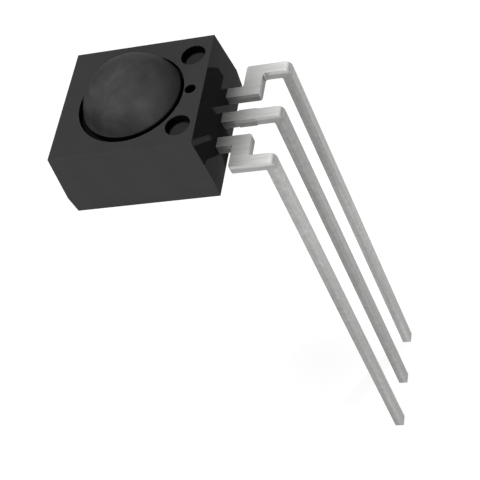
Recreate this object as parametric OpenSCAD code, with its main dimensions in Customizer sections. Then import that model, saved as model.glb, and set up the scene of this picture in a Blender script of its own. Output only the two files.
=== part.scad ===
// Infrared receiver module for soldering into a circuit board.
// A black moulded package with a domed lens holds a lead frame of three leads,
// a photodiode and an amplifier chip on the middle lead, and four bond wires.
// The leads leave one side of the package, spread to the board's hole spacing and
// turn down past the rear face, so the lens looks straight up from the board.
// Millimetres, +Z along the lens axis, origin at the centre of the rear face.

/* [Package] */
// Thickness of the package, from the rear face to the lens face
body_depth = 3.3; // [3:0.1:4.5]
// Length of the lens face, along the leads
face_len = 6.46; // [6.3:0.01:7.2]
// Width of the lens face, across the leads
face_wid = 6; // [5.9:0.01:7]
// Length at the parting line, where the two halves of the mould met
parting_len = 6.74; // [6.6:0.01:7.4]
// Width at the parting line
parting_wid = 6.28; // [6.1:0.01:7.2]
// Length of the rear face
rear_len = 6.6; // [6.2:0.01:7.2]
// Width of the rear face
rear_wid = 6.22; // [5.8:0.01:7]

/* [Lens] */
// Radius of the lens where it meets the lens face
lens_r = 2.2; // [1.8:0.01:2.3]
// Height of the lens above the lens face
lens_height = 1.62; // [0.8:0.01:1.75]
// Width of the ring groove around the lens
groove_w = 0.16; // [0.1:0.01:0.22]
// Depth of the ring groove below the lens face
groove_depth = 0.35; // [0.15:0.01:0.6]

/* [Mould marks] */
// Diameter of the two round recesses left by the ejector pins
ejector_d = 1.1; // [0.7:0.01:1.2]
// Depth of the ejector recesses
ejector_depth = 0.4; // [0.2:0.01:0.8]
// Distance of the ejector recesses from the lead side of the lens face
ejector_inset = 0.79; // [0.7:0.01:0.9]
// Distance between the two ejector recesses
ejector_pitch = 3.9; // [3.85:0.01:4.4]
// Diameter of the small locating hole between the recesses
pip_d = 0.5; // [0.3:0.01:0.55]
// Depth of the small locating hole
pip_depth = 0.7; // [0.3:0.01:1]
// Distance of the locating hole from the lead side of the lens face
pip_inset = 0.58; // [0.35:0.01:0.6]

/* [Leads] */
// Thickness of the lead frame sheet
lead_t = 0.44; // [0.36:0.01:0.5]
// Width of each lead
lead_w = 0.54; // [0.4:0.01:0.6]
// Height of the leads' underside above the rear face
lead_height = 0.94; // [0.6:0.01:1.2]
// Spacing of the leads where they leave the package
root_pitch = 1.37; // [1.3:0.01:1.6]
// Spacing of the lead tails, which fits the board's holes
tail_pitch = 2.54; // [2.5:0.01:2.6]
// Straight length between the package and the sideways step of the outer leads
root_len = 0.69; // [0.4:0.01:1.2]
// Length of the sideways step, measured along the lead
step_len = 0.8; // [0.6:0.01:1.1]
// Straight length between the sideways step and the bend
shoulder_len = 0.68; // [0.4:0.01:1.5]
// Inside radius of the bend
bend_r = 0.06; // [0.03:0.01:0.3]
// Outside radius of the bend, which the bending die presses sharper than a free bend
bend_outer_r = 0.3; // [0.1:0.01:0.36]
// Length of the tails below the rear face
tail_len = 19.95; // [8:0.05:25]
// How far the cut stubs of the tie bar stand out beside the middle lead
stub = 0.04; // [0.01:0.01:0.15]

/* [Chips] */
// Side of the square photodiode chip
diode_side = 1.3; // [0.9:0.05:1.5]
// Length of the amplifier chip, along the leads
amp_len = 1.1; // [0.8:0.05:1.2]
// Width of the amplifier chip
amp_wid = 0.9; // [0.7:0.05:1.2]
// Thickness of both chips
chip_t = 0.25; // [0.15:0.01:0.4]
// Thickness of the adhesive under each chip
glue_t = 0.03; // [0.02:0.01:0.06]
// Gap between the two chips
chip_gap = 0.35; // [0.25:0.01:0.4]
// Bare border of the middle lead's plate around the chips
plate_border = 0.25; // [0.1:0.01:0.28]

/* [Bonding] */
// Width and thickness of a bond wire
wire_t = 0.04; // [0.03:0.01:0.06]
// Height of a wire's loop above the straight line between its ends
loop_rise = 0.2; // [0.12:0.01:0.4]
// Distance of a wire's end from the edge of the chip that it starts on
pad_inset = 0.15; // [0.1:0.01:0.2]
// Width of the ball that starts a wire
ball_w = 0.12; // [0.1:0.01:0.16]
// Length of the flattened foot that ends a wire
foot_len = 0.14; // [0.1:0.01:0.2]
// Length of the wide inner end of an outer lead
finger_len = 0.9; // [0.6:0.05:1.1]
// Width of the wide inner end of an outer lead
finger_wid = 0.75; // [0.6:0.01:1]

/* [Hidden] */
$fn = 96;
over = 0.5;
near_side = -1;
far_side = 1;
lens_ball_r = (pow(lens_r, 2) + pow(lens_height, 2)) / (2 * lens_height);
lead_top = lead_height + lead_t;
root_inner = root_pitch - lead_w / 2;
step_start = parting_len / 2 + root_len;
step_end = step_start + step_len;
bend_start = step_end + shoulder_len;
tail_start = bend_start + bend_r;
corner_x = tail_start + lead_t - bend_outer_r;
corner_z = lead_top - bend_outer_r;
ejector_x = face_len / 2 - ejector_inset;
pip_x = face_len / 2 - pip_inset;
chip_base = lead_top + glue_t;
chip_top = chip_base + chip_t;
amp_x = diode_side / 2 + chip_gap + amp_len / 2;
plate_start = -diode_side / 2 - plate_border;
plate_end = amp_x + amp_len / 2 + plate_border;
plate_wid = max(diode_side, amp_wid) + 2 * plate_border;
supply_pad_x = amp_x + amp_len / 2 - pad_inset;
ground_pad_x = amp_x - amp_len / 2 + 2 * pad_inset;
amp_pad_y = amp_wid / 2 - pad_inset;
finger_start = supply_pad_x - finger_len / 2;
finger_bond_y = root_inner + finger_wid / 2;
ground_bond_y = (amp_wid + plate_wid) / 4;
loop_steps = 10;

// Side outline of the package: widest at the parting line, drafted towards both faces
function drafted_outline(rear, parting, face) = [
    [-rear / 2, 0],
    [rear / 2, 0],
    [parting / 2, lead_height],
    [face / 2, body_depth],
    [-face / 2, body_depth],
    [-parting / 2, lead_height]
];

// Height of a wire loop at a fraction t of its span: an arch that also falls by drop
function loop_height(t, drop) = 4 * loop_rise * t * (1 - t) - drop * t;

// Drafted block: the long outline and the cross outline, each carried through the other
module package_block() {
    intersection() {
        rotate([90, 0, 0])
            linear_extrude(height = parting_wid + over, center = true)
                polygon(drafted_outline(rear_len, parting_len, face_len));
        rotate([90, 0, 90])
            linear_extrude(height = parting_len + over, center = true)
                polygon(drafted_outline(rear_wid, parting_wid, face_wid));
    }
}

// Round hole sunk into the lens face
module face_hole(x, y, diameter, depth) {
    translate([x, y, body_depth - depth])
        cylinder(d = diameter, h = depth + over);
}

// Cap of a ball on a short post, which goes down through the groove into the block
module lens_dome() {
    intersection() {
        translate([0, 0, body_depth + lens_height - lens_ball_r])
            sphere(r = lens_ball_r);
        translate([0, 0, body_depth])
            cylinder(r = lens_r + over, h = lens_height + over);
    }
    translate([0, 0, body_depth - groove_depth - over / 2])
        cylinder(r = lens_r, h = groove_depth + over / 2);
}

// Everything that the moulding compound flows around
module moulded_in() {
    outer_lead(near_side);
    outer_lead(far_side);
    middle_lead();
    diode();
    diode_bed();
    amplifier();
    amplifier_bed();
    diode_bond();
    ground_bond();
    finger_bond(near_side);
    finger_bond(far_side);
}

module moulded_body() {
    color([0.16, 0.16, 0.16])
        difference() {
            union() {
                difference() {
                    package_block();
                    face_hole(0, 0, 2 * (lens_r + groove_w), groove_depth);
                    face_hole(ejector_x, -ejector_pitch / 2, ejector_d, ejector_depth);
                    face_hole(ejector_x, ejector_pitch / 2, ejector_d, ejector_depth);
                    face_hole(pip_x, 0, pip_d, pip_depth);
                }
                lens_dome();
            }
            moulded_in();
        }
}

// Flat rectangle of lead frame between two lengths and two side edges
module strip(x0, x1, y0, y1) {
    translate([x0, y0])
        square([x1 - x0, y1 - y0]);
}

// Rounded outside corner, small inside fillet and tail, for a lead centred at y
module bend_and_tail(y) {
    translate([corner_x, y, corner_z])
        rotate([90, 0, 0])
            rotate_extrude(angle = 90)
                translate([0, -lead_w / 2])
                    square([bend_outer_r, lead_w]);
    translate([bend_start, y - lead_w / 2, lead_height - bend_r])
        difference() {
            cube([bend_r, lead_w, bend_r]);
            rotate([90, 0, 0])
                cylinder(r = bend_r, h = 4 * lead_w, center = true);
        }
    translate([tail_start, y - lead_w / 2, -tail_len])
        cube([lead_t, lead_w, tail_len + corner_z]);
}

// Outer lead: bonding finger, straight root, sideways step, shoulder, bend and tail
module outer_lead(side) {
    mirror([0, side < 0 ? 1 : 0, 0]) {
        translate([0, 0, lead_height])
            linear_extrude(height = lead_t) {
                strip(finger_start, finger_start + finger_len, root_inner, root_inner + finger_wid);
                strip(finger_start, step_end, root_inner, root_inner + lead_w);
                strip(step_start, step_end, root_inner, tail_pitch + lead_w / 2);
                strip(step_start, corner_x, tail_pitch - lead_w / 2, tail_pitch + lead_w / 2);
            }
        bend_and_tail(tail_pitch);
    }
}

// Middle lead: the plate that carries both chips, then a straight lead with tie bar stubs
module middle_lead() {
    translate([0, 0, lead_height])
        linear_extrude(height = lead_t) {
            strip(plate_start, plate_end, -plate_wid / 2, plate_wid / 2);
            strip(plate_start, corner_x, -lead_w / 2, lead_w / 2);
            strip(step_start, step_end, -lead_w / 2 - stub, lead_w / 2 + stub);
        }
    bend_and_tail(0);
}

// Flat block standing on a given height, centred on the package's long centre line
module slab(x, base, length, width, thickness) {
    translate([x - length / 2, -width / 2, base])
        cube([length, width, thickness]);
}

module diode() {
    slab(0, chip_base, diode_side, diode_side, chip_t);
}

module diode_bed() {
    slab(0, lead_top, diode_side, diode_side, glue_t);
}

module amplifier() {
    slab(amp_x, chip_base, amp_len, amp_wid, chip_t);
}

module amplifier_bed() {
    slab(amp_x, lead_top, amp_len, amp_wid, glue_t);
}

// Bond wire along +X from the origin: ball, arched ribbon and flat foot, falling by drop
module bond_wire(span, drop) {
    steps = [for (i = [0 : loop_steps]) i / loop_steps];
    underside = [for (t = steps) [span * t, loop_height(t, drop)]];
    top = [for (t = steps) [span * (1 - t), loop_height(1 - t, drop) + wire_t]];
    rotate([0, 0, 22.5])
        cylinder(d = ball_w, h = wire_t, $fn = 8);
    rotate([90, 0, 0])
        linear_extrude(height = wire_t, center = true)
            polygon(concat(underside, top));
    translate([span - foot_len / 2, -wire_t / 2, -drop])
        cube([foot_len, wire_t, wire_t]);
}

// Photodiode to amplifier, across the gap between the chips
module diode_bond() {
    start = diode_side / 2 - pad_inset;
    end = amp_x - amp_len / 2 + pad_inset;
    translate([start, 0, chip_top])
        bond_wire(end - start, 0);
}

// Amplifier down to the middle lead's plate
module ground_bond() {
    translate([ground_pad_x, -amp_pad_y, chip_top])
        rotate([0, 0, -90])
            bond_wire(ground_bond_y - amp_pad_y, chip_top - lead_top);
}

// Amplifier to the inner end of an outer lead
module finger_bond(side) {
    translate([supply_pad_x, side * amp_pad_y, chip_top])
        rotate([0, 0, side * 90])
            bond_wire(finger_bond_y - amp_pad_y, chip_top - lead_top);
}

module output_lead() {
    color([0.72, 0.72, 0.71])
        outer_lead(near_side);
}

module ground_lead() {
    color([0.72, 0.72, 0.71])
        middle_lead();
}

module supply_lead() {
    color([0.72, 0.72, 0.71])
        outer_lead(far_side);
}

module photodiode_chip() {
    color([0.24, 0.24, 0.32])
        diode();
}

module photodiode_glue() {
    color([0.62, 0.62, 0.6])
        diode_bed();
}

module amplifier_chip() {
    color([0.3, 0.31, 0.34])
        amplifier();
}

module amplifier_glue() {
    color([0.62, 0.62, 0.6])
        amplifier_bed();
}

module diode_wire() {
    color([0.85, 0.66, 0.25])
        diode_bond();
}

module ground_wire() {
    color([0.85, 0.66, 0.25])
        ground_bond();
}

module supply_wire() {
    color([0.85, 0.66, 0.25])
        finger_bond(far_side);
}

module output_wire() {
    color([0.85, 0.66, 0.25])
        finger_bond(near_side);
}

moulded_body();
output_lead();
ground_lead();
supply_lead();
photodiode_chip();
photodiode_glue();
amplifier_chip();
amplifier_glue();
diode_wire();
ground_wire();
supply_wire();
output_wire();
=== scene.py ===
# %% [markdown]
# # An infrared receiver module
# The part is a small black package with a domed lens, and three flat leads that step apart
# and turn down behind it. It goes into a circuit board and hears a remote control.
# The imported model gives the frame: every piece below goes where that frame says.

# %% Load the frame
import math

import bmesh
import bpy
from mathutils import Matrix, Vector


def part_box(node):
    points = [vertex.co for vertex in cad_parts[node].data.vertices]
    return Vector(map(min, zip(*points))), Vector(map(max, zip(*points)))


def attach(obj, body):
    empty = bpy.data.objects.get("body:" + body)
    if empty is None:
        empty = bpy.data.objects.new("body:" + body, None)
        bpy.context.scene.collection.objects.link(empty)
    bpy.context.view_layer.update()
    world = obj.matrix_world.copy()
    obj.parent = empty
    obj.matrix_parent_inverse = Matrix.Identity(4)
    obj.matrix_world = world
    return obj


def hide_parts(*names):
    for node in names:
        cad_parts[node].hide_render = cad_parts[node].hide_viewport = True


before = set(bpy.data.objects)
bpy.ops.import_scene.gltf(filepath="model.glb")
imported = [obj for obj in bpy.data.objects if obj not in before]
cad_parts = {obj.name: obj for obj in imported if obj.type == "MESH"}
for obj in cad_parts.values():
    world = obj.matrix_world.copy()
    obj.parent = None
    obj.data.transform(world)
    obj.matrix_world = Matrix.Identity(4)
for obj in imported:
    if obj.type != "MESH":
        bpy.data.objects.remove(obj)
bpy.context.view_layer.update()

# %% [markdown]
# ## Working in millimetres
# The package and the leads are a few millimetres across, and some of Blender's tools join
# points that are closer than a hundredth of a millimetre. The pieces could be modelled in
# metres with each tool's limit turned down, but not every tool has such a setting. So each
# piece is modelled with one unit for one millimetre, and is shrunk a thousand times when it
# is finished. What the frame already knows about a size is read from it.

# %% Read sizes from the frame
millimetre = 0.001


def node_box(name):
    """Lowest and highest corner of a CAD node, in millimetres."""
    low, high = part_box(name)
    return Vector(low) / millimetre, Vector(high) / millimetre


lead_low, lead_high = node_box("supply_lead")
lead_thickness = 0.44
lead_top = lead_high.z
lead_underside = lead_top - lead_thickness
print("leads leave the package", round(lead_underside, 2), "to", round(lead_top, 2), "mm up")

# %% [markdown]
# ## Selecting by place
# Blender's operators act on whatever is selected. In the window a modeller clicks the edge
# to be moved. A script could keep lists of edge numbers instead, but these change with every
# cut, so the helpers here find verts, edges and faces by where their middle lies.

# %% Helpers for selecting and moving


def clear_selection():
    """Leave edit mode and select nothing."""
    if bpy.context.object and bpy.context.object.mode != "OBJECT":
        bpy.ops.object.mode_set(mode="OBJECT")
    bpy.ops.object.select_all(action="DESELECT")


def make_active(piece):
    """Select one object alone and make it the active one."""
    clear_selection()
    piece.select_set(True)
    bpy.context.view_layer.objects.active = piece


def pick(kind, test):
    """In edit mode, select only the verts, edges or faces whose middle passes the test."""
    mesh = bmesh.from_edit_mesh(bpy.context.object.data)
    modes = {"verts": {"VERT"}, "edges": {"EDGE"}, "faces": {"FACE"}}
    mesh.select_mode = modes[kind]
    for group in (mesh.faces, mesh.edges, mesh.verts):
        for item in group:
            item.select = False
    for item in getattr(mesh, kind):
        points = [item.co] if kind == "verts" else [corner.co for corner in item.verts]
        if test(sum(points, Vector()) / len(points)):
            item.select_set(True)
    mesh.select_flush_mode()
    bmesh.update_edit_mesh(bpy.context.object.data)


def near(value, target, tolerance=0.002):
    """True if two measurements in millimetres are the same."""
    return abs(value - target) < tolerance


def pull(x=0.0, y=0.0, z=0.0):
    """Extrude what is selected and move it."""
    bpy.ops.mesh.extrude_region_move(TRANSFORM_OT_translate={"value": (x, y, z)})


def face_outwards():
    """In edit mode, turn all faces outwards."""
    bpy.ops.mesh.select_all(action="SELECT")
    bpy.ops.mesh.normals_make_consistent(inside=False)


def apply_transform():
    """Write the active object's place, turn and scale into its mesh."""
    bpy.ops.object.transform_apply(location=True, rotation=True, scale=True)


# %% [markdown]
# ## Rounded edges
# Nothing real has a knife-sharp edge, so each piece's edges are rounded by a few hundredths
# of a millimetre and catch the light. A Subdivision Surface would round them too, but it
# would also pull the flat walls into curves, so a Bevel is used, which leaves them flat.

# %% Helpers for modifiers


def apply_modifiers(piece):
    """Apply a piece's modifiers in order."""
    make_active(piece)
    for modifier in list(piece.modifiers):
        bpy.ops.object.modifier_apply(modifier=modifier.name)


def round_edges(piece, width, angle):
    """Round a piece's edges that are sharper than an angle in degrees."""
    bevel = piece.modifiers.new("rounded edges", "BEVEL")
    bevel.width = width
    bevel.segments = 2
    bevel.limit_method = "ANGLE"
    bevel.angle_limit = math.radians(angle)
    bevel.use_clamp_overlap = True
    apply_modifiers(piece)


# %% [markdown]
# ## The package
# The black package is one casting of epoxy. Two mould halves met at the leads, and each half
# has draft, so the package is widest at the leads and tapers to both faces. A cube with its
# ends scaled would need an extra loop for the parting line. So the package is drawn the way
# the mould is cut: a rectangle at the parting line is pulled up and narrowed, then the face
# left below is pulled down and narrowed too.

# %% The drafted block
body_high = node_box("moulded_body")[1]
body_depth = 3.3
parting_half = Vector((body_high.x, body_high.y))
face_half = Vector((3.23, 3.0))
rear_half = Vector((3.3, 3.11))
package_rounding = 0.02

clear_selection()
bpy.ops.mesh.primitive_plane_add(size=2, location=(0, 0, lead_underside))
package = bpy.context.object
package.scale = (parting_half.x, parting_half.y, 1)
apply_transform()
bpy.ops.object.mode_set(mode="EDIT")
bpy.ops.mesh.select_all(action="SELECT")
pull(z=body_depth - lead_underside)
bpy.ops.transform.resize(value=(face_half.x / parting_half.x, face_half.y / parting_half.y, 1))
pick("faces", lambda middle: near(middle.z, lead_underside))
pull(z=-lead_underside)
bpy.ops.transform.resize(value=(rear_half.x / parting_half.x, rear_half.y / parting_half.y, 1))
face_outwards()
bpy.ops.object.mode_set(mode="OBJECT")
round_edges(package, package_rounding, angle=35)
print("block has", len(package.data.polygons), "faces")

# %% [markdown]
# ## Holes in the lens face
# The mould leaves a ring groove round the lens, two round recesses from its ejector pins and
# one narrow locating hole. The groove isn't quite centred on the lens. The holes could be
# inset in the face and pushed in, but then one mesh would have to fit all four circles. Each
# is cut with a plain cylinder, as a pin in the mould would leave it, which keeps it round and
# free to move. The rims are then eased a little.

# %% Cut the groove, the recesses and the locating hole
groove_radius = 2.385
groove_centre = Vector((-0.015, -0.09))
groove_depth = 0.35
ejector_radius = 0.55
ejector_depth = 0.4
ejector_place = Vector((2.44, 1.95))
locating_radius = 0.25
locating_depth = 0.7
locating_x = 2.65


def combine(target, tool, operation):
    """Join a tool to a target or cut it away, then delete the tool."""
    make_active(target)
    boolean = target.modifiers.new("boolean", "BOOLEAN")
    boolean.operation = operation
    boolean.solver = "EXACT"
    boolean.object = tool
    bpy.ops.object.modifier_apply(modifier=boolean.name)
    bpy.data.objects.remove(tool)


def pin(x, y, radius, depth):
    """A cylinder that reaches a depth below the lens face."""
    clear_selection()
    clear = 1.0
    bpy.ops.mesh.primitive_cylinder_add(
        vertices=64, radius=radius, depth=depth + clear,
        location=(x, y, body_depth + (clear - depth) / 2))
    apply_transform()
    return bpy.context.object


combine(package, pin(groove_centre.x, groove_centre.y, groove_radius, groove_depth), "DIFFERENCE")
for side in (-1, 1):
    recess = pin(ejector_place.x, side * ejector_place.y, ejector_radius, ejector_depth)
    combine(package, recess, "DIFFERENCE")
combine(package, pin(locating_x, 0, locating_radius, locating_depth), "DIFFERENCE")
round_edges(package, package_rounding, angle=50)
print("package with holes has", len(package.data.polygons), "faces")

# %% [markdown]
# ## The lens
# The lens is a cap of the same epoxy, which lets infrared through and stops daylight. Its arc
# could be drawn and spun, but a ball already has that arc. A whole ball is cut at the height
# of the lens face, the open ring is pulled down through the groove into the block, and the
# post is closed and joined to the package.

# %% Add the lens
lens_radius = 2.2
lens_height = body_high.z - body_depth
ball_radius = (lens_radius ** 2 + lens_height ** 2) / (2 * lens_height)
post_overlap = 0.2

clear_selection()
bpy.ops.mesh.primitive_uv_sphere_add(
    segments=128, ring_count=96, radius=ball_radius,
    location=(0, 0, body_depth + lens_height - ball_radius))
lens = bpy.context.object
apply_transform()
bpy.ops.object.mode_set(mode="EDIT")
bpy.ops.mesh.select_all(action="SELECT")
bpy.ops.mesh.bisect(
    plane_co=(0, 0, body_depth), plane_no=(0, 0, 1), clear_inner=True, use_fill=False)
pick("edges", lambda middle: near(middle.z, body_depth))
pull(z=-groove_depth - post_overlap)
bpy.ops.mesh.edge_face_add()
face_outwards()
bpy.ops.object.mode_set(mode="OBJECT")
combine(package, lens, "UNION")
print("lens", round(lens_height, 3), "mm high, cut from a ball of radius", round(ball_radius, 3))

# %% [markdown]
# ## Finishing a piece
# The bevel's thin faces would tint the large faces beside them. Flat shading would stop that,
# but it would show the facets of the lens, so smooth shading is kept, and weighted normals
# let the larger face win. The modifier compares face areas, so it runs while the piece is
# still in millimetres, and areas closer than its threshold count as equal. The piece is then
# shrunk to metres and takes the place of its CAD node in the frame.

# %% Finish the package
smooth_angle = 40
equal_areas = 0.0001


def open_edges(piece):
    """How many edges of a piece don't join exactly two faces."""
    mesh = bmesh.new()
    mesh.from_mesh(piece.data)
    count = sum(len(edge.link_faces) != 2 for edge in mesh.edges)
    mesh.free()
    return count


def finish_piece(piece, name, node):
    """Shrink a piece from millimetres to metres and let it stand for its CAD node."""
    make_active(piece)
    bpy.ops.object.shade_smooth_by_angle(angle=math.radians(smooth_angle))
    flat = piece.modifiers.new("flat faces stay flat", "WEIGHTED_NORMAL")
    flat.keep_sharp = True
    flat.weight = 100
    flat.thresh = equal_areas
    apply_modifiers(piece)
    piece.scale = (millimetre, millimetre, millimetre)
    apply_transform()
    piece.name = name
    piece.data.name = name
    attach(piece, "root")
    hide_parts(node)
    print(name, "has", len(piece.data.polygons), "faces and", open_edges(piece), "open edges")


finish_piece(package, "package_with_lens", "moulded_body")

# %% [markdown]
# ## The leads
# A lead is stamped from tinned sheet and then bent in a die. A curve with a flat profile
# would give the bend, but neither the sideways step nor the plate for the chips. So a lead is
# drawn as it is made: its outline as a flat sheet on the lead frame's underside, edge by
# edge, then the sheet's thickness, then the tail, pulled down from the end. Last the bend is
# rounded on the outside and, much tighter, on the inside, and the stamped edges are eased.

# %% Sizes of the leads
lead_width = 0.54
tail_outer = lead_high.x
tail_inner = tail_outer - lead_thickness
tip_z = lead_low.z
bend_outer_radius = 0.3
bend_inner_radius = 0.06
step_start = 4.06
step_end = 4.86
step_middle = (step_start + step_end) / 2
step_corner = 0.1
lead_rounding = 0.03
print("tails end at", round(tip_z, 2), "mm and reach", round(tail_outer, 2), "mm from the lens axis")

# %% Helpers for sheet metal


def flat_strip(x0, x1, y0, y1):
    """A flat rectangle on the underside of the lead frame, left in edit mode."""
    clear_selection()
    bpy.ops.mesh.primitive_plane_add(size=1, location=((x0 + x1) / 2, (y0 + y1) / 2, lead_underside))
    strip = bpy.context.object
    strip.scale = (x1 - x0, y1 - y0, 1)
    apply_transform()
    bpy.ops.object.mode_set(mode="EDIT")
    return strip


def pull_edge(x, y, along_x=0.0, along_y=0.0):
    """Lengthen or widen the sheet from the edge whose middle is at x and y."""
    pick("edges", lambda middle: near(middle.x, x) and near(middle.y, y))
    pull(x=along_x, y=along_y)


def round_bend(x, z, radius, segments):
    """Round the edge that runs across the lead at x and z."""
    pick("edges", lambda middle: near(middle.x, x) and near(middle.z, z))
    bpy.ops.mesh.bevel(offset=radius, segments=segments, affect="EDGES")


def thicken_and_bend(sheet, y, corners=()):
    """Turn a flat sheet whose end is centred at y into a bent lead with eased corners."""
    pull_edge(tail_inner, y, along_x=lead_thickness)
    bpy.ops.mesh.select_all(action="SELECT")
    bpy.ops.mesh.remove_doubles(threshold=0.0005)
    for corner_x, corner_y in corners:
        pick("verts", lambda point: near(point.x, corner_x) and near(point.y, corner_y))
        bpy.ops.mesh.bevel(offset=step_corner, segments=3, affect="VERTICES")
    bpy.ops.mesh.select_all(action="SELECT")
    pull(z=lead_thickness)
    face_outwards()
    pick("faces", lambda middle: near(middle.x, tail_outer - lead_thickness / 2)
         and near(middle.z, lead_underside))
    pull(z=tip_z - lead_underside)
    round_bend(tail_outer, lead_top, bend_outer_radius, segments=8)
    round_bend(tail_inner, lead_underside, bend_inner_radius, segments=4)
    bpy.ops.object.mode_set(mode="OBJECT")
    round_edges(sheet, lead_rounding, angle=50)


# %% [markdown]
# ## The outer leads
# Inside the package an outer lead begins as a wide finger, where a bond wire lands. Outside
# it steps sideways, so that the tails stand as far apart as the board's holes. The two are
# mirror images. A Mirror modifier would keep both in one mesh, and they are two pieces, so
# one is drawn and the other is a copy turned over, with its faces turned outwards again.

# %% Draw the supply lead
root_inner = lead_low.y
root_outer = root_inner + lead_width
root_middle = (root_inner + root_outer) / 2
pitch = lead_high.y - lead_width / 2
tail_edge = pitch - lead_width / 2
finger_start = lead_low.x
finger_end = finger_start + 0.9
finger_width = 0.75

supply = flat_strip(finger_end, step_start, root_inner, root_outer)
pull_edge(finger_end, root_middle, along_x=finger_start - finger_end)
pull_edge((finger_start + finger_end) / 2, root_outer, along_y=finger_width - lead_width)
pull_edge(step_start, root_middle, along_x=step_end - step_start)
pull_edge(step_middle, root_outer, along_y=tail_edge - root_outer)
pull_edge(step_middle, tail_edge, along_y=lead_width)
pull_edge(step_end, pitch, along_x=tail_inner - step_end)
thicken_and_bend(supply, pitch, (
    (step_end, root_inner), (step_end, tail_edge),
    (step_start, root_outer), (step_start, tail_edge + lead_width)))
print("tails stand", round(pitch, 3), "mm apart")

# %% Mirror it for the output lead
make_active(supply)
bpy.ops.object.duplicate()
output = bpy.context.object
output.scale = (1, -1, 1)
apply_transform()
bpy.ops.object.mode_set(mode="EDIT")
face_outwards()
bpy.ops.object.mode_set(mode="OBJECT")
print("output lead has", len(output.data.polygons), "faces")

# %% [markdown]
# ## The middle lead
# The middle lead carries both chips on a plate inside the package. Outside it is straight,
# with two short stubs where the tie bar between the leads was cut away. It could start as a
# copy of an outer lead, but little of that outline would stay, so it is drawn anew.

# %% Draw the middle lead, with the plate for the chips
plate_low, plate_high = node_box("ground_lead")
plate_start = plate_low.x
plate_end = 2.35
plate_half_width = plate_high.y
stub = 0.04

ground = flat_strip(plate_end, step_start, -lead_width / 2, lead_width / 2)
pull_edge(plate_end, 0, along_x=plate_start - plate_end)
for side in (-1, 1):
    pull_edge((plate_start + plate_end) / 2, side * lead_width / 2,
              along_y=side * (plate_half_width - lead_width / 2))
pull_edge(step_start, 0, along_x=step_end - step_start)
for side in (-1, 1):
    pull_edge(step_middle, side * lead_width / 2, along_y=side * stub)
pull_edge(step_end, 0, along_x=tail_inner - step_end)
thicken_and_bend(ground, 0)

for lead, name, node in ((supply, "supply_lead_metal", "supply_lead"),
                         (output, "output_lead_metal", "output_lead"),
                         (ground, "ground_lead_metal", "ground_lead")):
    finish_piece(lead, name, node)

# %% [markdown]
# ## Shader nodes in plain words
# A material is a small chain of calculations. In the window it is a web of boxes and wires,
# and in a script each box takes several lines, which hides what the material does. So the
# few kinds of box that are needed get a helper each, named for what it does to a number.

# %% Helpers for arithmetic


def feed(tree, socket, source):
    """Link a socket to another node's output, or set it to a plain value."""
    if isinstance(source, bpy.types.NodeSocket):
        tree.links.new(source, socket)
    else:
        socket.default_value = source


def calculate(tree, operation, first, second=0.0):
    """Work out one or two numbers with a Math node."""
    node = tree.nodes.new("ShaderNodeMath")
    node.operation = operation
    feed(tree, node.inputs[0], first)
    feed(tree, node.inputs[1], second)
    return node.outputs[0]


def times(tree, result, *factors):
    """Multiply numbers, one after the other."""
    for factor in factors:
        result = calculate(tree, "MULTIPLY", result, factor)
    return result


def plus(tree, result, *terms):
    """Add numbers, one after the other."""
    for term in terms:
        result = calculate(tree, "ADD", result, term)
    return result


def minus(tree, first, second):
    """Take one number from another."""
    return calculate(tree, "SUBTRACT", first, second)


def distance(tree, x, y):
    """How far the point at x and y is from zero."""
    squares = plus(tree, calculate(tree, "POWER", x, 2.0), calculate(tree, "POWER", y, 2.0))
    return calculate(tree, "POWER", squares, 0.5)


# %% Helpers for ranges and masks


def remap(tree, value, old_low, old_high, new_low=0.0, new_high=1.0):
    """Carry a value from one range to another and stop at both ends."""
    node = tree.nodes.new("ShaderNodeMapRange")
    feed(tree, node.inputs["Value"], value)
    for name, number in (("From Min", old_low), ("From Max", old_high),
                         ("To Min", new_low), ("To Max", new_high)):
        feed(tree, node.inputs[name], number)
    return node.outputs["Result"]


def within(tree, value, low, high, soft):
    """1 between two values and 0 outside, with soft ends."""
    rise = remap(tree, value, low - soft, low + soft)
    fall = remap(tree, value, high - soft, high + soft, 1.0, 0.0)
    return times(tree, rise, fall)


def mix(tree, factor, first, second):
    """Mix two numbers."""
    node = tree.nodes.new("ShaderNodeMix")
    feed(tree, node.inputs[0], factor)
    feed(tree, node.inputs[2], first)
    feed(tree, node.inputs[3], second)
    return node.outputs[0]


def only_on(tree, mask, factor):
    """A factor where the mask is 1, which leaves everything else as it is."""
    return mix(tree, mask, 1.0, factor)


# %% Helpers for places and patterns


def split(tree, vector):
    """The three numbers of a vector."""
    node = tree.nodes.new("ShaderNodeSeparateXYZ")
    feed(tree, node.inputs[0], vector)
    return node.outputs


def place_on_piece(tree):
    """A point's place on its piece, as a vector in metres."""
    return tree.nodes.new("ShaderNodeTexCoord").outputs["Object"]


def in_millimetres(tree, place):
    """A place as three numbers in millimetres."""
    return [times(tree, axis, 1 / millimetre) for axis in split(tree, place)]


def facing(tree, axes):
    """How far the surface faces along each of the axes, from 0 to 1."""
    normal = split(tree, tree.nodes.new("ShaderNodeTexCoord").outputs["Normal"])
    return [calculate(tree, "ABSOLUTE", normal[axis]) for axis in axes]


def noise(tree, vector, scale, detail=3.0, distortion=0.0):
    """Soft random patches, from 0 to 1."""
    node = tree.nodes.new("ShaderNodeTexNoise")
    feed(tree, node.inputs["Vector"], vector)
    feed(tree, node.inputs["Scale"], scale)
    node.inputs["Detail"].default_value = detail
    node.inputs["Distortion"].default_value = distortion
    return node.outputs["Fac"]


def cells(tree, vector, scale, shape):
    """How far a point is from the nearest of many scattered ones."""
    node = tree.nodes.new("ShaderNodeTexVoronoi")
    node.distance = shape
    feed(tree, node.inputs["Vector"], vector)
    feed(tree, node.inputs["Scale"], scale)
    return node.outputs["Distance"]


# %% Helpers for whole materials


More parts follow.
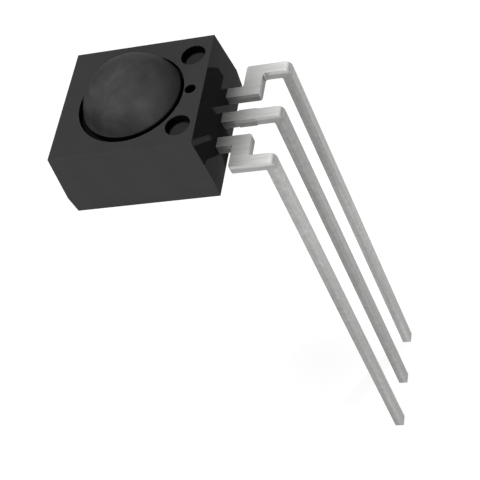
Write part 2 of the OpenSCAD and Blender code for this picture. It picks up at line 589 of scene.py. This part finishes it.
def new_material(name):
    """A new material, its node tree and its Principled shader."""
    material = bpy.data.materials.new(name)
    material.use_nodes = True
    return material, material.node_tree, material.node_tree.nodes["Principled BSDF"]


def tint(tree, shader, tone, red, green, blue):
    """Give a shader its colour from one changing tone and a fixed hue."""
    node = tree.nodes.new("ShaderNodeCombineColor")
    for socket, share in zip(node.inputs, (red, green, blue)):
        feed(tree, socket, times(tree, tone, share))
    feed(tree, shader.inputs["Base Color"], node.outputs[0])


def roughen(tree, shader, height, strength, depth):
    """Give a shader a bump from a height."""
    bump = tree.nodes.new("ShaderNodeBump")
    bump.inputs["Strength"].default_value = strength
    bump.inputs["Distance"].default_value = depth
    feed(tree, bump.inputs["Height"], height)
    feed(tree, shader.inputs["Normal"], bump.outputs["Normal"])


def dress(material, *pieces):
    """Give pieces one material."""
    for piece in pieces:
        piece.data.materials.clear()
        piece.data.materials.append(material)
    print(material.name, "is on", ", ".join(piece.name for piece in pieces))


# %% [markdown]
# ## Grain, an effect that the materials share
# Every finish here has a fine tooth and slow patches of tone. Each material could have noise
# of its own, but the same web of nodes would be built again for each. So one group makes both
# from noise, and a stretch turns the grain into the draw lines of rolled metal. A scale
# counts the patches in a metre: 16000 makes grains of about 0.06 mm.

# %% Node group for grain


def new_group(name, inputs, outputs):
    """A node group with named sockets, and its two end nodes."""
    group = bpy.data.node_groups.new(name, "ShaderNodeTree")
    for label, kind in inputs:
        group.interface.new_socket(label, in_out="INPUT", socket_type=kind)
    for label in outputs:
        group.interface.new_socket(label, in_out="OUTPUT", socket_type="NodeSocketFloat")
    print("group", name, "puts out", ", ".join(outputs))
    return group, group.nodes.new("NodeGroupInput"), group.nodes.new("NodeGroupOutput")


def use_group(tree, group, **values):
    """Place a group in a material with its own values."""
    node = tree.nodes.new("ShaderNodeGroup")
    node.node_tree = group
    for name, value in values.items():
        feed(tree, node.inputs[name.replace("_", " ")], value)
    return node.outputs


grain_group, start, end = new_group(
    "surface grain",
    (("Fine Scale", "NodeSocketFloat"), ("Patch Scale", "NodeSocketFloat"),
     ("Stretch", "NodeSocketVector")),
    ("Height", "Patches"))
stretched = grain_group.nodes.new("ShaderNodeVectorMath")
stretched.operation = "MULTIPLY"
feed(grain_group, stretched.inputs[0], place_on_piece(grain_group))
feed(grain_group, stretched.inputs[1], start.outputs["Stretch"])
feed(grain_group, end.inputs["Height"],
     noise(grain_group, stretched.outputs[0], start.outputs["Fine Scale"], detail=4.0))
feed(grain_group, end.inputs["Patches"],
     noise(grain_group, stretched.outputs[0], start.outputs["Patch Scale"], detail=2.0))

# %% [markdown]
# ## Edge wear and highlight, the other shared effect
# Handling and deflashing polish the corners, so the epoxy's edges are a little smoother. Both
# materials also lighten their edges, which is a painted highlight. Worn edges could be painted
# on by hand, which has to be done again after each change of shape. The group finds them by
# itself: it compares the true surface with one whose corners are rounded, and where they
# differ there is an edge.

# %% Node group for edge wear and highlight
wear_and_highlight_group, start, end = new_group("edge wear and highlight", (("Width", "NodeSocketFloat"),), ("Edge",))
rounded = wear_and_highlight_group.nodes.new("ShaderNodeBevel")
rounded.samples = 6
feed(wear_and_highlight_group, rounded.inputs["Radius"], start.outputs["Width"])
compare = wear_and_highlight_group.nodes.new("ShaderNodeVectorMath")
compare.operation = "DOT_PRODUCT"
feed(wear_and_highlight_group, compare.inputs[0], rounded.outputs["Normal"])
feed(wear_and_highlight_group, compare.inputs[1],
     wear_and_highlight_group.nodes.new("ShaderNodeNewGeometry").outputs["True Normal"])
feed(wear_and_highlight_group, end.inputs["Edge"], remap(wear_and_highlight_group, compare.outputs["Value"], 0.98, 0.8))

# %% [markdown]
# ## Black epoxy, on the lens
# The package is moulding compound: black resin filled with ground glass. The lens was pressed
# by a polished part of the mould, so it is a little smoother, and the resin that flowed in
# there left soft patches and faint rings. It could be a separate material on its own faces,
# with a hard line between the two. Here each zone is a mask from the place on the piece,
# which fades at its ends. Slow changes of tone across the lens are painted shade and light,
# added in the same way: darker from the crown to the foot and at the back corner, lighter
# towards the leads and at the lead corner.

# %% Epoxy: the tone of the lens
epoxy, tree, shader = new_material("black epoxy")
place = place_on_piece(tree)
x, y, z = in_millimetres(tree, place)
on_lens = remap(tree, z, body_depth, body_depth + 0.05)
radius = distance(tree, x, y)

ring_rate = 12.0
ring_strength = 0.16
flow_strength = 0.4
wobble = times(tree, noise(tree, place, 500.0, detail=2.0), 0.7)
rings = calculate(tree, "SINE", times(tree, plus(tree, radius, wobble), ring_rate))
ring_patches = remap(tree, noise(tree, place, 350.0, detail=1.0), 0.4, 0.65)
flow = remap(tree, noise(tree, place, 850.0, detail=2.5, distortion=0.4), 0.4, 0.66)
# Painted shade and light on the lens: darker to the foot and back corner, lighter toward the leads.
crown_to_foot_shade = remap(tree, radius, 0.4, 2.0, 0.1, -0.35)
light_toward_leads = remap(tree, x, -1.8, 2.0, -0.2, 0.3)
lead_corner_light = remap(tree, minus(tree, x, times(tree, y, 0.4)), 1.3, 2.2, 0.0, 0.55)
back_corner_shade = remap(tree, minus(tree, x, y), -1.9, -0.6, -0.45, 0.0)
foot_shade = remap(tree, radius, 1.4, 2.1, 0.0, -0.15)
lens_patches_and_shade = plus(
    tree, times(tree, flow, flow_strength), times(tree, rings, ring_patches, ring_strength),
    plus(tree, crown_to_foot_shade, light_toward_leads), lead_corner_light, back_corner_shade, foot_shade)
print("rings on the lens lie", round(2 * math.pi / ring_rate, 2), "mm apart")

# %% [markdown]
# ## Black epoxy, in the holes
# The walls of the holes get a painted shade that is almost black, and the floors of the two
# recesses a lighter painted shade. The faces inside could get a material of their own, but it
# would end in a hard line at the rims. So a mask finds them: below the lens face and well
# inside the outer walls. The floors face up, within an ejector pin's circle.

# %% Epoxy: the holes
face_x, face_z = facing(tree, "XZ")
side_y = calculate(tree, "ABSOLUTE", y)
from_ejector = distance(tree, minus(tree, x, ejector_place.x), minus(tree, side_y, ejector_place.y))
inside = times(
    tree, remap(tree, calculate(tree, "ABSOLUTE", x), face_half.x - 0.1, face_half.x - 0.15),
    remap(tree, side_y, face_half.y - 0.1, face_half.y - 0.15))
below_face = within(tree, z, body_depth - locating_depth - 0.1, body_depth - 0.03, 0.02)
recess_floor = times(tree, remap(tree, face_z, 0.6, 0.9),
                     remap(tree, from_ejector, ejector_radius - 0.03, ejector_radius - 0.1))
# Painted shade in the holes: how much tone the walls and the recess floors lose.
wall_shade = 0.9
floor_shade = 0.38
painted_hole_shade = times(tree, times(tree, inside, below_face),
                  mix(tree, recess_floor, wall_shade, floor_shade))
print("hole walls lose", wall_shade, "of their tone and recess floors", floor_shade)

# %% [markdown]
# ## Black epoxy, put together
# The flat faces keep the dull fine tooth of the mould, and the side that the leads leave gets a
# painted shade. Tone, roughness and a weak clear coat on the lens could each be one number, but
# real compound is never that even, so each follows the grain, the flow marks or the masks.

# %% Epoxy: colour, gloss and tooth
grain = use_group(tree, grain_group, Fine_Scale=16000.0, Patch_Scale=900.0, Stretch=(1, 1, 1))
edge = use_group(tree, wear_and_highlight_group, Width=0.00005)["Edge"]
# Painted shade: the face that the leads leave is darkened.
shaded_lead_face = times(tree, remap(tree, face_x, 0.9, 0.97), remap(tree, x, 3.0, 3.1))
tone = times(tree, mix(tree, grain["Patches"], 0.042, 0.05),
             mix(tree, grain["Height"], 0.9, 1.1),
             plus(tree, 1.0, times(tree, on_lens, lens_patches_and_shade)),
             only_on(tree, shaded_lead_face, 0.68))
# Painted highlight: the edges are a little lighter.
tone = plus(tree, tone, times(tree, edge, 0.012))
tone = times(tree, tone, minus(tree, 1.0, painted_hole_shade))
tint(tree, shader, tone, 1.0, 1.0, 1.01)

rough = minus(tree, mix(tree, grain["Height"], 0.75, 0.9), times(tree, edge, 0.15))
feed(tree, shader.inputs["Roughness"], mix(tree, on_lens, rough, mix(tree, flow, 0.55, 0.7)))
crown = times(tree, on_lens, remap(tree, radius, 1.0, 1.9, 1.0, 0.1))
feed(tree, shader.inputs["Coat Weight"], times(tree, crown, mix(tree, flow, 0.02, 0.05)))
shader.inputs["Coat Roughness"].default_value = 0.35
shader.inputs["Specular IOR Level"].default_value = 0.03
roughen(tree, shader, grain["Height"], 0.25, 0.00001)
dress(epoxy, package)

# %% [markdown]
# ## Tin plating, its lines and stamped edges
# The leads are copper alloy plated with matte tin. Rolling leaves fine lines along the strip.
# The shader's own anisotropy stretches highlights, but it draws no lines and no patches, so
# the grain is stretched along each lead, and down the tails below the bend. The stamped edges
# have a bright band where the punch cut and a duller, rougher one where the metal broke, and
# the tails are mottled.

# %% Tin: lines, mottle and stamped edges
tin, tree, shader = new_material("tin plating")
place = place_on_piece(tree)
x, y, z = in_millimetres(tree, place)
face_x, face_y = facing(tree, "XY")
along_x = use_group(tree, grain_group, Fine_Scale=26000.0, Patch_Scale=5000.0,
                    Stretch=(0.04, 1, 1))
along_z = use_group(tree, grain_group, Fine_Scale=26000.0, Patch_Scale=5000.0,
                    Stretch=(1, 1, 0.03))
tail = times(tree, remap(tree, z, lead_top - 0.25, lead_top - 0.5),
             remap(tree, x, tail_inner - 0.2, tail_inner - 0.05))
lines = mix(tree, tail, along_x["Height"], along_z["Height"])
patches = mix(tree, tail, along_x["Patches"], along_z["Patches"])
mottle = remap(tree, noise(tree, place, 4000.0, detail=4.0), 0.3, 0.7, 0.9, 1.1)

cut_face = times(tree, remap(tree, face_x, 0.6, 0.9),
                 remap(tree, x, tail_inner - 0.15, tail_inner - 0.25))
sheared = calculate(tree, "MAXIMUM", remap(tree, face_y, 0.6, 0.9), cut_face)
through = mix(tree, tail, remap(tree, z, lead_underside, lead_top),
              remap(tree, x, tail_inner, tail_outer))
cut_above = 0.8
broken_below = 0.65
broken = times(tree, sheared, remap(
    tree, plus(tree, through, times(tree, lines, 0.25)), cut_above, broken_below))
print("stamped edges are cut above", cut_above, "of the sheet and broken below", broken_below)

# %% [markdown]
# ## Tin plating, its marks
# The shoulders get a painted highlight, and the outside of the bend a painted dark reflection.
# The sides of the roots next to the package, and the inner sides of the outer leads up to
# their step, get painted shade. The cut stubs and the tips are bare metal. Such marks could be
# thin extra pieces, but a real mark has no thickness, so each is a mask from its place on the
# lead.

# %% Tin: marks
side_y = calculate(tree, "ABSOLUTE", y)
# Painted highlight on the shoulders.
shoulder_highlight = times(tree, remap(tree, x, step_start + 0.3, tail_inner + 0.2),
                 remap(tree, z, lead_top - 0.3, lead_top - 0.1))
# Painted dark reflection on the outside of the bend.
bend_dark_reflection = times(tree, within(tree, z, lead_top - 0.43, lead_top - 0.08, 0.06),
               remap(tree, x, tail_outer - 0.2, tail_outer - 0.1), minus(tree, 1.0, sheared))
# Painted shade on the inner sides of the outer leads and the sides of the roots.
inner_side = times(tree, within(tree, side_y, root_inner - 0.05, root_inner + 0.05, 0.02),
                   remap(tree, x, step_end, step_end - 0.1))
root = remap(tree, x, step_start, step_start - 0.2)
root_shade = times(tree, calculate(tree, "MAXIMUM", inner_side, root), sheared)
middle_lead = remap(tree, side_y, lead_width / 2 + 0.1, lead_width / 2 + 0.08)
stub_end = lead_width / 2 + stub
bare_stub = times(tree, times(tree, within(tree, x, step_start, step_end, 0.03), middle_lead),
                  remap(tree, side_y, stub_end - 0.02, stub_end - 0.01))
tip = remap(tree, z, tip_z + 0.02, tip_z + 0.01)
print("bare stubs end", round(stub_end, 2), "mm from the middle")

# %% [markdown]
# ## Tin plating, the tone of the tails
# Each tail has a tone of its own, which changes down its length.
# One material for each tail could say so, but most of their nodes would be the same. So the
# tones follow the distance from the middle on the fronts, and run from the near tail to the
# far one on the sides, once for the top of the tails and once for what lies low down.

# %% Tin: tails
low_down = remap(tree, z, -4.0, -8.0)
front_tone = mix(tree, low_down, remap(tree, side_y, lead_width, root_outer, 0.59, 0.69), 0.575)
side_tone = mix(tree, low_down, remap(tree, y, -pitch, pitch, 0.82, 0.62),
                remap(tree, y, -pitch, pitch, 0.7, 0.86))
tail_tone = mix(tree, sheared, front_tone, side_tone)
flat_tone = only_on(tree, sheared, 0.88)
print("tin has", len(tree.nodes), "nodes before its colour")

# %% [markdown]
# ## Tin plating, put together
# Layers of mixed colours could be stacked instead, but each would hide the grain below it. A
# mark is a factor on the tone here, so the lines and patches still show through all of them.

# %% Tin: colour, gloss and tooth
edge = use_group(tree, wear_and_highlight_group, Width=0.00004)["Edge"]
# The shoulder, bend and root factors below are painted highlight, painted reflection and painted
# shade.
tone = times(tree, mix(tree, lines, 0.44, 0.6),
             mix(tree, patches, 0.8, 1.15),
             only_on(tree, tail, mottle),
             only_on(tree, broken, mix(tree, tail, 0.82, 0.94)),
             only_on(tree, root_shade, 0.52),
             only_on(tree, shoulder_highlight, mix(tree, sheared, 1.5, 1.15)),
             remap(tree, side_y, root_outer, pitch, 1.0, 1.12),
             only_on(tree, bend_dark_reflection, 0.62),
             only_on(tree, bare_stub, 0.7),
             only_on(tree, tip, 0.8),
             mix(tree, tail, flat_tone, tail_tone))
# Painted highlight: the edges are lighter, less so on the tails.
tone = plus(tree, tone, times(tree, edge, mix(tree, tail, 0.08, 0.02)))
tint(tree, shader, tone, 1.0, 0.995, 0.98)
feed(tree, shader.inputs["Roughness"],
     plus(tree, mix(tree, lines, 0.38, 0.5), times(tree, broken, 0.15)))
shader.inputs["Metallic"].default_value = 1.0
roughen(tree, shader, lines, 0.3, 0.00001)
dress(tin, supply, output, ground)

# %% [markdown]
# ## What lies inside
# The chips, the glue under them and the bond wires are sealed in the epoxy, but they are part
# of the assembly and show when the package is hidden. They could be modelled again, but at
# their size that would add nothing, so they keep their CAD solids and get their own finishes:
# dark silicon with the tiled pattern of a circuit, glue full of silver flakes, and drawn gold.

# %% Silicon
silicon, tree, shader = new_material("silicon chip")
grain = use_group(tree, grain_group, Fine_Scale=30000.0, Patch_Scale=2500.0, Stretch=(1, 1, 1))
tiles = cells(tree, place_on_piece(tree), 7000.0, "CHEBYCHEV")
tone = plus(tree, mix(tree, grain["Patches"], 0.05, 0.11), remap(tree, tiles, 0.1, 0.5, 0.0, 0.05))
tint(tree, shader, tone, 0.85, 0.9, 1.25)
feed(tree, shader.inputs["Roughness"], mix(tree, grain["Height"], 0.2, 0.35))
shader.inputs["Metallic"].default_value = 0.6
roughen(tree, shader, tiles, 0.1, 0.000005)
dress(silicon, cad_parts["photodiode_chip"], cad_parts["amplifier_chip"])

# %% Silver glue
glue, tree, shader = new_material("silver glue")
grain = use_group(tree, grain_group, Fine_Scale=22000.0, Patch_Scale=6000.0, Stretch=(1, 1, 1))
glint = remap(tree, cells(tree, place_on_piece(tree), 40000.0, "EUCLIDEAN"), 0.45, 0.1)
tone = times(tree, mix(tree, glint, 0.4, 0.7), mix(tree, grain["Patches"], 0.85, 1.1))
tint(tree, shader, tone, 1.0, 0.99, 0.95)
feed(tree, shader.inputs["Roughness"], mix(tree, glint, 0.6, 0.3))
feed(tree, shader.inputs["Metallic"], mix(tree, glint, 0.4, 0.9))
roughen(tree, shader, grain["Height"], 0.3, 0.00001)
dress(glue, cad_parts["photodiode_glue"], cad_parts["amplifier_glue"])

# %% Gold wire
gold, tree, shader = new_material("gold wire")
grain = use_group(tree, grain_group, Fine_Scale=60000.0, Patch_Scale=8000.0, Stretch=(0.1, 1, 1))
tint(tree, shader, mix(tree, grain["Patches"], 0.85, 1.0), 1.0, 0.72, 0.32)
feed(tree, shader.inputs["Roughness"], mix(tree, grain["Height"], 0.18, 0.32))
shader.inputs["Metallic"].default_value = 1.0
roughen(tree, shader, grain["Height"], 0.1, 0.000002)
wires = ("diode_wire", "ground_wire", "supply_wire", "output_wire")
dress(gold, *(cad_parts[wire] for wire in wires))

# %% [markdown]
# ## Camera
# The camera looks down on the near side and the side of the leads, turned so that the tails
# run down to the right. A Track To constraint could aim it, but the view is also tilted, so
# the directions ahead and up are given and made into one matrix. It stands only 60 mm from
# the part, so the perspective is that of a close-up.

# %% Place the camera
camera_place = Vector((23.808, -37.402, 40.244)) * millimetre
camera_ahead = Vector((-0.351578, 0.581348, -0.733776)).normalized()
camera_up = Vector((0.087047, 0.800721, 0.592679)).normalized()
camera_right = camera_ahead.cross(camera_up).normalized()
camera_up = camera_right.cross(camera_ahead)
lens_data = bpy.data.cameras.new("camera")
camera = bpy.data.objects.new("camera", lens_data)
bpy.context.scene.collection.objects.link(camera)
turn = Matrix((camera_right, camera_up, -camera_ahead)).transposed().to_4x4()
camera.matrix_world = Matrix.Translation(camera_place) @ turn
lens_data.sensor_width = 36
lens_data.lens = 102.87
lens_data.clip_start = 0.001
lens_data.clip_end = 10
bpy.context.scene.camera = camera
print("camera stands", round(camera_place.length / millimetre, 1), "mm from the origin")

# %% [markdown]
# ## Floor
# The part stands on its lead tips on a white card. The card could be lit until it is white,
# but it would throw that light back on the part. So the card itself is grey, and it glows
# only where the camera, a reflection or a transparent surface sees it. It keeps the part's
# soft shadow.

# %% Lay the card
card_tone = 0.16
card_glow = 0.88

clear_selection()
bpy.ops.mesh.primitive_plane_add(size=2.0, location=(0, 0, tip_z * millimetre))
floor = bpy.context.object
floor.name = "floor"
card, tree, shader = new_material("white card")
rays = tree.nodes.new("ShaderNodeLightPath").outputs
seen = plus(tree, rays["Is Camera Ray"],
            plus(tree, rays["Is Glossy Ray"], rays["Is Transmission Ray"]))
shader.inputs["Base Color"].default_value = (card_tone, card_tone, card_tone, 1)
shader.inputs["Roughness"].default_value = 0.9
shader.inputs["Specular IOR Level"].default_value = 0.0
shader.inputs["Emission Color"].default_value = (1, 1, 1, 1)
feed(tree, shader.inputs["Emission Strength"],
     times(tree, calculate(tree, "MINIMUM", seen, 1.0), card_glow))
dress(card, floor)

# %% [markdown]
# ## Light
# The studio is a white tent, which the camera sees as plain white. Metal shows what it
# reflects, so in reflections the tent is brighter above than at the horizon, and it adds only
# a little light of its own. Three lamps do the rest: a large key above, a small fill for the
# near side, and a tiny low lamp that draws the leads' shadows on the package. Suns would be
# simpler to aim, but their light is as strong on the card as on the part, and a near lamp's
# light fades with the distance.

# %% The tent
world = bpy.data.worlds.new("studio")
bpy.context.scene.world = world
world.use_nodes = True
tree = world.node_tree
rays = tree.nodes.new("ShaderNodeLightPath").outputs
height = split(tree, tree.nodes.new("ShaderNodeTexCoord").outputs["Generated"])["Z"]
in_metal = remap(tree, height, 0.2, 0.65, 0.3, 1.0)
as_light = 0.06
level = mix(tree, rays["Is Glossy Ray"], as_light, in_metal)
level = mix(tree, rays["Is Camera Ray"], level, 1.0)
background = tree.nodes["Background"]
background.inputs["Color"].default_value = (1, 1, 1, 1)
feed(tree, background.inputs["Strength"], level)
bpy.context.scene.view_settings.view_transform = "Standard"
print("the tent lights the part with a strength of", as_light)

# %% The lamps


def soft_lamp(name, aim, direction, away, size, power):
    """A square lamp, some way from a point in millimetres, that looks at it."""
    data = bpy.data.lights.new(name, "AREA")
    data.size = size
    data.energy = power
    lamp = bpy.data.objects.new(name, data)
    bpy.context.scene.collection.objects.link(lamp)
    toward = Vector(direction).normalized()
    lamp.location = Vector(aim) * millimetre + toward * away
    lamp.rotation_euler = toward.to_track_quat("Z", "Y").to_euler()
    lamp.visible_camera = False
    lamp.visible_glossy = False
    print(name, "lamp stands", away, "m away and gives", power, "W")


soft_lamp("key", aim=(0, 0, 2), direction=(-0.07, -0.08, 0.99), away=3.0, size=0.8, power=76.0)
soft_lamp("fill", aim=(0, 0, 2), direction=(-0.2, -0.95, 0.12), away=0.12, size=0.06, power=0.117)
soft_lamp("low_rim", aim=(3.3, 0, 2), direction=(0.466, 0.605, -0.6), away=0.028, size=0.0006,
          power=0.0112)
